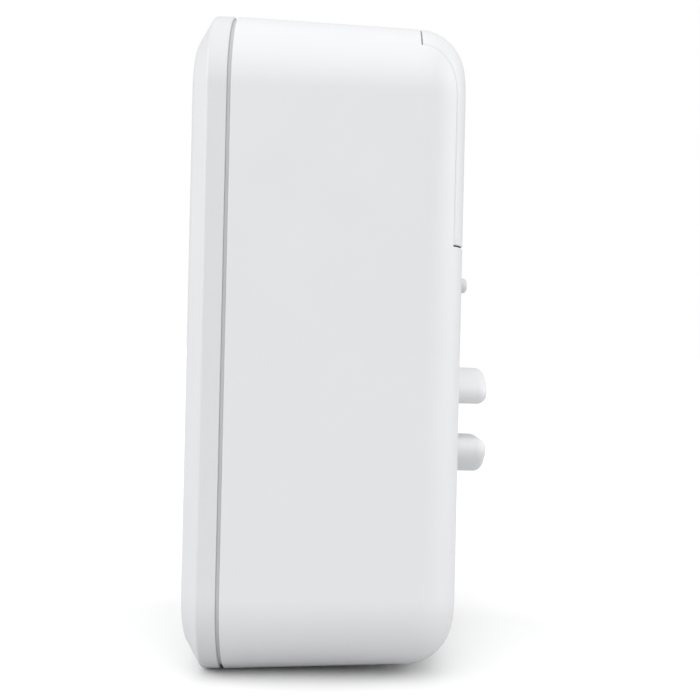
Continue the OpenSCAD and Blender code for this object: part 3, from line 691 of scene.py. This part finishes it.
def cut_rear_holes(case):
    """Screw wells and bores, the plunger's guide bore, and round openings in the rear wall."""
    screw_bore_r, guide_bore_r = 0.0014, 0.00235
    plunger_hole_r, reset_hole_r, spigot_hole_r = 0.00147, 0.00157, 0.01025
    for centre in SCREWS:
        combine(case, hole(centre, WELL_R, Y_REAR, SCREW_SEAT - Y_REAR), "DIFFERENCE")
        combine(case, post(centre, screw_bore_r, CASE_BOSS_Y - PAST, SCREW_SEAT + PAST), "DIFFERENCE")
    combine(case, post(PLUNGER, guide_bore_r, GUIDE_Y - PAST, INNER_Y), "DIFFERENCE")
    through = -WALL - PAST
    combine(case, hole(PLUNGER, plunger_hole_r, Y_REAR, through), "DIFFERENCE")
    combine(case, hole(RESET, reset_hole_r, Y_REAR, through, 0.0004), "DIFFERENCE")
    combine(case, hole(SPIGOT, spigot_hole_r, Y_REAR, through, 0.00015), "DIFFERENCE")


def make_rear_housing():
    """The deep case: walls, screw bosses, posts, plunger guide and hinge knuckles."""
    corners = [(0, Y_REAR, 0), (radius_at(Y_REAR), Y_REAR, REAR_FILLET), (CORNER_R, Y_SEAM, SEAM_ROUND),
               (radius_at(Y_SEAM, WALL), Y_SEAM, EDGE),
               (radius_at(INNER_Y, WALL), INNER_Y, REAR_FILLET - WALL), (0, INNER_Y, 0)]
    case = stack("rear_housing_shell", [body_ring(r, y) for r, y in rounded(corners, steps=14)[1:-1]])
    add_case_posts(case)
    add_knuckles(case)
    cut_door_opening(case)
    cut_rear_holes(case)
    place(smooth(case), "housing", "shell_white", "rear_housing")


def cut_cover_holes(cover):
    """Stepped openings for window and motion lens, and plain ones for button, microphone and speaker."""
    through = WALL + PAST
    rim = 0.0002
    button_r, small_r = 0.01547, 0.0006
    pitch, row_pitch = 0.0024, 0.0022
    window_step = (WINDOW, 0.01508, 0.0138, 0.00145)
    pir_step = (PIR, 0.00758, 0.0067, 0.00135)
    for centre, seat_r, through_r, seat_depth in (window_step, pir_step):
        combine(cover, hole(centre, seat_r, Y_FRONT, seat_depth, rim), "DIFFERENCE")
        combine(cover, hole(centre, through_r, Y_FRONT, through, FINE_EDGE), "DIFFERENCE")
    combine(cover, hole(BUTTON, button_r, Y_FRONT, through, rim), "DIFFERENCE")
    small = [hole(MICROPHONE, small_r, Y_FRONT, through, rim)]
    for row in (-1, 0, 1):
        last = 5 - abs(row)
        shift = pitch / 4 if row else -pitch / 4
        for k in range(-last, last + 1):
            centre = (SPEAKER[0] + pitch * k + shift, SPEAKER[1] + row_pitch * row)
            small.append(hole(centre, small_r, Y_FRONT, through, rim))
    combine(cover, joined("holes", small), "DIFFERENCE")


def make_front_cover():
    """The bevelled cover, with a tongue that goes into the housing, and its screw bosses."""
    boss_r, bore_r = 0.0032, 0.00127
    skirt_r = CORNER_R - WALL
    tongue_r = skirt_r - 0.0002
    tongue_in = tongue_r - 0.0012
    ledge_y = Y_COVER - 0.0015
    tongue_y = Y_SEAM + 0.0015
    bevel_y = Y_FRONT + BEVEL_DEPTH
    corners = [(0, Y_FRONT, 0), (FACE_R, Y_FRONT, 0.004), (CORNER_R, bevel_y, 0.0007),
               (CORNER_R, Y_COVER, SEAM_ROUND), (tongue_r, Y_COVER, FINE_EDGE),
               (tongue_r, tongue_y, EDGE), (tongue_in, tongue_y, EDGE), (tongue_in, ledge_y, FINE_EDGE),
               (skirt_r, ledge_y, FINE_EDGE), (skirt_r, bevel_y + WALL / 2, 0.0005),
               (CORNER_R - WALL / 2 - BEVEL_INSET, FACE_IN, 0.0005), (0, FACE_IN, 0)]
    cover = stack("front_cover_shell", [body_ring(r, y) for r, y in rounded(corners, steps=7)[1:-1]])
    for centre in SCREWS:
        combine(cover, post(centre, boss_r, FACE_IN - 0.0005, COVER_BOSS_Y), "UNION")
        combine(cover, post(centre, bore_r, FACE_IN + 0.0002, COVER_BOSS_Y + PAST), "DIFFERENCE")
    cut_cover_holes(cover)
    # the cover's darker white is painted shade, not a different plastic
    place(smooth(cover), "housing", "shell_white", "front_cover", look=COVER_SHADED_WHITE)


def add_hinge_barrel(door, side):
    """A barrel on a neck under the door's lower edge, bored for its pin."""
    left, right = mirrored(*BARREL_X, side)
    neck = box_piece("neck", (left, Y_REAR - DOOR_WALL, HINGE_Z),
                     (right, Y_REAR - 0.0001, DOOR_EDGE + PAST))
    combine(door, neck, "UNION")
    combine(door, rod_x("barrel", HINGE_Y, HINGE_Z, (left, right), BARREL_R), "UNION")
    bore = rod_x("pin_hole", HINGE_Y, HINGE_Z, (left - PAST, right + PAST), PIN_R + 0.00005)
    combine(door, bore, "DIFFERENCE")


def add_tab(door, side):
    """A tab that hooks under the housing's top wall, on a web from the door."""
    left, right = mirrored(0.011, 0.017, side)
    front, rear = DOOR_LIP - 0.0017, DOOR_LIP + 0.002
    low, high, web_high = case_hi.z - 0.0056, case_hi.z - 0.0042, case_hi.z - 0.002
    ease = 0.0001
    tab = box_piece("tab", (left, front, low), (right, rear, high))
    web = box_piece("web", (left, DOOR_LIP + ease, low + ease), (right, rear - ease, web_high))
    combine(tab, web, "UNION")
    combine(door, tab, "UNION")


def make_battery_door():
    """The door: a patch of the housing's skin with a rounded rim, two hinge barrels and two tabs.
    Behind its land the lower edge slopes away, so that the door can swing."""
    layers = [*rim_layers(0.0, -1, 0.0), (DOOR_LAND + 0.0001, 0.0, 0.0001),
              (DOOR_WALL, 0.0, DOOR_WALL - DOOR_LAND)]
    door = patch_solid("battery_door_shell", layers)
    for side in (-1, 1):
        add_hinge_barrel(door, side)
        add_tab(door, side)
    place(smooth(door), "battery_door", "shell_white", "battery_door")


# ---- Wall mount, plunger and reset ----

def lug_ring(radius, flat, corner, y):
    """A circle's segment above the height flat, with its two corners rounded."""
    centre_z = flat + corner
    centre_x = math.sqrt((radius - corner) ** 2 - centre_z ** 2)
    tilt = math.atan2(centre_z, centre_x)
    right = arc((centre_x, centre_z), corner, -math.pi / 2, tilt, 8)
    top = arc((0, 0), radius, tilt, math.pi - tilt, 26)
    left = arc((-centre_x, centre_z), corner, math.pi - tilt, 1.5 * math.pi, 8)
    return [(x, y, z) for x, z in right + top[1:-1] + left]


def make_lug(side):
    """One lug, above the slot or, where side is -1, below it, with a rounded tip."""
    radius, half_slot, tip, corner = 0.00965, 0.0031, 0.0018, 0.0021
    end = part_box("mount_spigot")[1].y - tip
    steps = 8
    rings = [lug_ring(radius, half_slot, corner, Y_REAR - PAST)]
    for k in range(steps + 1):
        a = math.pi / 2 * k / steps
        inset = tip * (1 - math.cos(a))
        rings.append(lug_ring(radius - inset, half_slot + inset, corner - inset, end + tip * math.sin(a)))
    return stack("lug", [[(x, y, z * side) for x, y, z in ring] for ring in rings])


def make_spigot():
    """The round base, with a seal groove in its flange and a hollow behind, and its two lugs."""
    lo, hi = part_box("mount_spigot")
    base_r, hollow_r = 0.0102, 0.006
    groove_in, groove_out, groove_y = 0.0111, 0.0123, INNER_Y - 0.0008
    base = lathe("mount_spigot_body", SPIGOT, rounded([
        (0, lo.y, 0), (hi.x, lo.y, EDGE), (hi.x, INNER_Y, EDGE), (base_r, INNER_Y, FINE_EDGE),
        (base_r, Y_REAR, 0.00015), (0, Y_REAR, 0)]))
    combine(base, post(SPIGOT, hollow_r, lo.y - PAST, groove_y), "DIFFERENCE")
    groove = tube("groove", SPIGOT, [
        (groove_in, groove_y, FINE_EDGE), (groove_out, groove_y, FINE_EDGE),
        (groove_out, INNER_Y + PAST, FINE_EDGE), (groove_in, INNER_Y + PAST, FINE_EDGE)])
    combine(base, groove, "DIFFERENCE")
    for side in (1, -1):
        combine(base, make_lug(side), "UNION")
    place(smooth(base), "housing", "shell_white", "mount_spigot")


def make_plunger():
    """The tamper plunger: a stem for its spring, a collar and a rounded tip."""
    lo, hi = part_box("tamper_plunger")
    stem_r, pin_r = 0.0011, 0.0014
    plunger = lathe("tamper_plunger_pin", PLUNGER, rounded([
        (0, lo.y, 0), (stem_r, lo.y, FINE_EDGE), (stem_r, COLLAR_Y[0], FINE_EDGE),
        (hi.x, COLLAR_Y[0], FINE_EDGE), (hi.x, COLLAR_Y[1], FINE_EDGE), (pin_r, COLLAR_Y[1], FINE_EDGE),
        (pin_r, hi.y, 0.0008), (0, hi.y, 0)]), steps=64)
    place(smooth(plunger), "tamper_plunger", "plunger_grey", "tamper_plunger")


def make_tamper_spring():
    """The coil round the plunger."""
    lo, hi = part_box("tamper_spring")
    wire_r = 0.00022
    coils, steps, sides = 5, 28, 8
    length = hi.y - lo.y
    section = arc((hi.x - wire_r, 0), wire_r, 0, math.tau, sides)[:-1]
    bm = bmesh.new()
    rows = []
    for k in range(coils * steps + 1):
        a = math.tau * k / steps
        y = lo.y + wire_r + (length - 2 * wire_r) * k / (coils * steps)
        rows.append([bm.verts.new((PLUNGER[0] + r * math.cos(a), y + rise, PLUNGER[1] + r * math.sin(a)))
                     for r, rise in section])
    for a, b in zip(rows, rows[1:]):
        bridge(bm, a, b)
    bm.faces.new(rows[0])
    bm.faces.new(rows[-1])
    spring = new_piece("tamper_spring_coil", bm)
    spring.data.shade_smooth()
    place(spring, "housing", "contact_nickel", "tamper_spring")
    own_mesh(spring)


def make_reset_button():
    """The small reset button, with a dimple for a pin's tip."""
    lo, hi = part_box("reset_button")
    stem_r, collar_r, cap_r, dimple_r = 0.001, 0.0023, 0.0015, 0.0006
    dimple_y = hi.y - 0.0002
    button = lathe("reset_button_cap", RESET, rounded([
        (0, lo.y, 0), (stem_r, lo.y, FINE_EDGE), (stem_r, COLLAR_Y[0], FINE_EDGE),
        (collar_r, COLLAR_Y[0], FINE_EDGE), (collar_r, COLLAR_Y[1], FINE_EDGE),
        (cap_r, COLLAR_Y[1], FINE_EDGE), (cap_r, hi.y, 0.0003), (dimple_r + 0.0002, hi.y, 0.0002),
        (dimple_r, dimple_y, 0.0002), (0, dimple_y, 0)]), steps=64)
    place(smooth(button), "reset_button", "plunger_grey", "reset_button")


def make_screw_plugs():
    """Soft plugs in the screw wells, each with a notch to lift it by."""
    lo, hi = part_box("screw_plugs")
    plug_r = WELL_R - 0.00002
    nose_r = 0.0018
    shoulder_y = Y_REAR - 0.0034
    dish_y = hi.y - 0.0003
    notch_r, notch_depth = 0.0005, 0.0008
    plugs = []
    for centre in SCREWS:
        plug = lathe("plug", centre, rounded([
            (0, lo.y, 0), (nose_r, lo.y, 0.0003), (nose_r, shoulder_y, FINE_EDGE),
            (plug_r, shoulder_y, 0.0002), (plug_r, hi.y, 0.0004), (0.0016, hi.y, 0.0002),
            (0.0014, dish_y, 0.0003), (0, dish_y, 0)]), steps=64)
        x, z = centre
        notch = pocket((x - notch_r, x + notch_r), (z - 0.0031, z - 0.0017), hi.y, -notch_depth, FINE_EDGE)
        combine(plug, notch, "DIFFERENCE")
        plugs.append(plug)
    place(smooth(joined("screw_plug_set", plugs)), "housing", "plug_white", "screw_plugs")


# ---- Front ----

def make_window():
    """The black window, and the clear port over the lens."""
    lo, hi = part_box("camera_window")
    port_r = 0.0052
    pane_r = port_r - 0.00003
    pane_y = lo.y + 0.0008
    window = tube("camera_window_mask", WINDOW, [
        (port_r, lo.y, FINE_EDGE), (hi.x, lo.y, 0.0003), (hi.x, hi.y, FINE_EDGE),
        (port_r, hi.y, FINE_EDGE)], steps=128)
    place(smooth(window), "housing", "window_black", "camera_window")
    port = lathe("camera_window_port", WINDOW, rounded([
        (0, lo.y, 0), (pane_r, lo.y, FINE_EDGE), (pane_r, pane_y, FINE_EDGE), (0, pane_y, 0)]))
    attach(smooth(port), "housing")
    port.data.materials.append(PORT_GLASS)


def make_lens():
    """The lens and its stepped barrel."""
    lo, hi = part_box("lens_barrel")
    bore_r, outer_r, neck_r = 0.0026, 0.005, 0.0042
    step = 0.0003
    outline = [(bore_r, hi.y), (bore_r, lo.y + 3 * step), (0.0037, lo.y + 3 * step),
               (0.0037, lo.y + 2 * step), (0.004, lo.y + 2 * step), (0.004, lo.y + step),
               (0.0043, lo.y + step), (0.0043, lo.y), (outer_r, lo.y), (outer_r, lo.y + 4 * step),
               (neck_r, lo.y + 4 * step), (neck_r, hi.y)]
    barrel = tube("lens_barrel_rings", WINDOW, [(r, y, FINE_EDGE / 2) for r, y in outline])
    place(smooth(barrel), "housing", "lens_black", "lens_barrel")
    glass_lo, glass_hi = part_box("lens_glass")
    edge_r = glass_hi.x
    rise = glass_hi.y - glass_lo.y
    ball_r = (edge_r ** 2 + rise ** 2) / (2 * rise)
    turns = [math.asin(edge_r / ball_r) * k / 16 for k in range(17)]
    front = [(ball_r * math.sin(a), glass_lo.y + ball_r * (1 - math.cos(a))) for a in turns]
    glass = lathe("lens_glass_dome", WINDOW, [*front, (0, glass_hi.y)])
    place(smooth(glass), "housing", "lens_glass", "lens_glass")


def make_pir_lens():
    """The motion sensor's lens, with an eased front edge."""
    lo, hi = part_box("pir_lens")
    lens = lathe("pir_lens_disc", PIR, rounded([
        (0, lo.y, 0), (hi.x - 0.0009, lo.y, 0.0005), (hi.x, lo.y + 0.0002, 0.0002),
        (hi.x, hi.y, FINE_EDGE), (0, hi.y, 0)]))
    place(smooth(lens), "housing", "pir_white", "pir_lens")


def make_bell_button():
    """The dished button, with a skirt that keeps it behind the light ring and a plunger."""
    lo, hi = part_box("bell_button")
    button_r, dish_r, plunger_r = 0.0134, 0.012, 0.003
    dish_depth = 0.0008
    skirt_y = lo.y + 0.0031
    rear_y = skirt_y + 0.001
    steps = 16
    dish = [(dish_r * k / steps, lo.y + dish_depth * (1 - (k / steps) ** 2)) for k in range(steps)]
    rest = rounded([dish[-1] + (0,), (dish_r, lo.y, 0.0004), (button_r, lo.y, 0.0003),
                    (button_r, skirt_y, FINE_EDGE), (hi.x, skirt_y, FINE_EDGE), (hi.x, rear_y, FINE_EDGE),
                    (plunger_r, rear_y, 0.0002), (plunger_r, hi.y, 0.0002), (0, hi.y, 0)])
    button = lathe("bell_button_cap", BUTTON, dish[:-1] + rest, steps=128)
    place(smooth(button), "bell_button", "button_white", "bell_button")


def make_button_membrane():
    """The silicone cup behind the button, with its rim and its floor. Six holes clear the ring's lights."""
    lo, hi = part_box("button_membrane")
    rim_r = hi.x - 0.0014
    floor_y = hi.y - 0.0005
    ease = 0.0002
    holes, hole_r, circle_r = 6, 0.0016, 0.009
    cup = lathe("button_membrane_cup", BUTTON, rounded([
        (0, floor_y, 0), (rim_r, floor_y, ease), (rim_r, lo.y, ease), (hi.x, lo.y, ease),
        (hi.x, hi.y, ease), (0, hi.y, 0)]))
    for k in range(holes):
        a = math.tau * k / holes
        centre = (BUTTON[0] + circle_r * math.cos(a), BUTTON[1] + circle_r * math.sin(a))
        combine(cup, post(centre, hole_r, floor_y - PAST, hi.y + PAST), "DIFFERENCE")
    shade_edges(cup)
    dress(cup, "membrane_grey", "button_membrane")
    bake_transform(cup)


def make_light_ring():
    """The light guide round the button, with a flange behind the front face."""
    lo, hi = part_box("light_ring")
    inner, outer = 0.0137, 0.0154
    flange_y = FACE_IN + 0.00005
    ring = tube("light_ring_guide", BUTTON, [
        (inner, lo.y, 0.0002), (outer, lo.y, 0.0002), (outer, flange_y, FINE_EDGE),
        (hi.x, flange_y, FINE_EDGE), (hi.x, hi.y, FINE_EDGE), (inner, hi.y, FINE_EDGE)], steps=128)
    place(smooth(ring), "housing", "ring_clear", "light_ring")


# ---- CAD nodes that stay: their finish, and a small bevel on their edges ----

def dress_cad_nodes():
    """Each CAD node's material and, where it is shown, its bevel."""
    flat_angle, bevel_angle = math.radians(0.5), math.radians(40)
    bevel_width = 0.00008
    for part in frame["record"]["subparts"]:
        node = frame["nodes"][part["node"]]
        node.data.materials.clear()
        node.data.materials.append(LOOKS[part["material_slot"]])
        if node.hide_render:
            continue
        weld = node.modifiers.new("weld", "WELD")
        weld.merge_threshold = MERGE
        flat = node.modifiers.new("flat", "DECIMATE")
        flat.decimate_type = "DISSOLVE"
        flat.angle_limit = flat_angle
        bevel = node.modifiers.new("bevel", "BEVEL")
        bevel.width = bevel_width
        bevel.segments = 2
        bevel.limit_method = "ANGLE"
        bevel.angle_limit = bevel_angle
        weighted = node.modifiers.new("flat_faces", "WEIGHTED_NORMAL")
        weighted.keep_sharp = True


# ---- Stage ----

def make_camera():
    """A level view of the side that faces +X, turned slightly in its own plane. The distance, the two
    shifts, the roll and the focal length are fitted to the photograph."""
    distance = 0.1779
    shift_y, shift_z = 0.0042, -0.0008
    roll = math.radians(1.3)
    focal_mm = 57.9
    camera = bpy.data.objects.new("camera", bpy.data.cameras.new("camera"))
    bpy.context.scene.collection.objects.link(camera)
    camera.data.lens = focal_mm
    camera.data.sensor_width = 36
    camera.data.clip_start = 0.01
    camera.location = (HALF_W + distance, (Y_FRONT + Y_REAR) / 2 + shift_y, Z_MID + shift_z)
    right = Vector((0, math.cos(roll), math.sin(roll)))
    up = Vector((0, -math.sin(roll), math.cos(roll)))
    back = right.cross(up)
    camera.rotation_mode = "QUATERNION"
    camera.rotation_quaternion = Matrix((right, up, back)).transposed().to_quaternion()
    bpy.context.scene.camera = camera


def soft_sun(name, towards, strength):
    """A broad distant light, which stands in the direction towards and has the same tone all over the
    floor. A strength of 1 lights a white face turned to it about white."""
    light = bpy.data.lights.new(name, "SUN")
    light.energy = strength * math.pi
    light.angle = SUN_WIDTH
    lamp = bpy.data.objects.new(name, light)
    bpy.context.scene.collection.objects.link(lamp)
    lamp.rotation_mode = "QUATERNION"
    lamp.rotation_quaternion = Vector(towards).to_track_quat("Z", "Y")


def camera_or_bounce(tree, seen, bounced):
    """One value where the camera sees a stage surface directly, and another for the light it gives."""
    ray = tree.nodes.new("ShaderNodeLightPath")
    pick = tree.nodes.new("ShaderNodeMapRange")
    pick.inputs["To Min"].default_value = bounced
    pick.inputs["To Max"].default_value = seen
    tree.links.new(ray.outputs["Is Camera Ray"], pick.inputs["Value"])
    return pick.outputs["Result"]


SUN_WIDTH = math.radians(60)
SUNS = {
    "top_light": ((0, 0, 1), 0.15),
    "key_light": ((1, 0, 1), 0.375),
    "front_light": ((0, -1, 0.25), 0.5),
    "rear_light": ((0, 1, 0.25), 0.42),
}
FILL = 0.5            # the surround's light, where 1 is white
FLOOR_BOUNCE = 0.6    # the floor's tone as a source of light
FLOOR_SEEN = 0.98     # and as the camera sees it
FLOOR_HALF = 30


def make_stage():
    """A pale floor, a white surround and broad soft lights."""
    bm = bmesh.new()
    bmesh.ops.create_grid(bm, x_segments=1, y_segments=1, size=FLOOR_HALF)
    for v in bm.verts:
        v.co.z = case_lo.z
    floor = new_piece("floor", bm)
    material, tree, shader = nodes_of("floor_white")
    tree.links.new(camera_or_bounce(tree, FLOOR_SEEN, FLOOR_BOUNCE), shader.inputs["Base Color"])
    shader.inputs["Roughness"].default_value = 1.0
    shader.inputs["Specular IOR Level"].default_value = 0.0
    floor.data.materials.append(material)
    world = bpy.data.worlds.new("world")
    bpy.context.scene.world = world
    world.use_nodes = True
    tree = world.node_tree
    tree.nodes["Background"].inputs["Color"].default_value = (1, 1, 1, 1)
    tree.links.new(camera_or_bounce(tree, 1.0, FILL), tree.nodes["Background"].inputs["Strength"])
    for name, (towards, strength) in SUNS.items():
        soft_sun(name, towards, strength)
    bpy.context.scene.view_settings.view_transform = "Standard"


make_camera()
make_rear_housing()
make_front_cover()
make_battery_door()
make_spigot()
make_plunger()
make_tamper_spring()
make_reset_button()
make_screw_plugs()
make_window()
make_lens()
make_pir_lens()
make_bell_button()
make_button_membrane()
make_light_ring()
dress_cad_nodes()
make_stage()

bpy.context.view_layer.update()
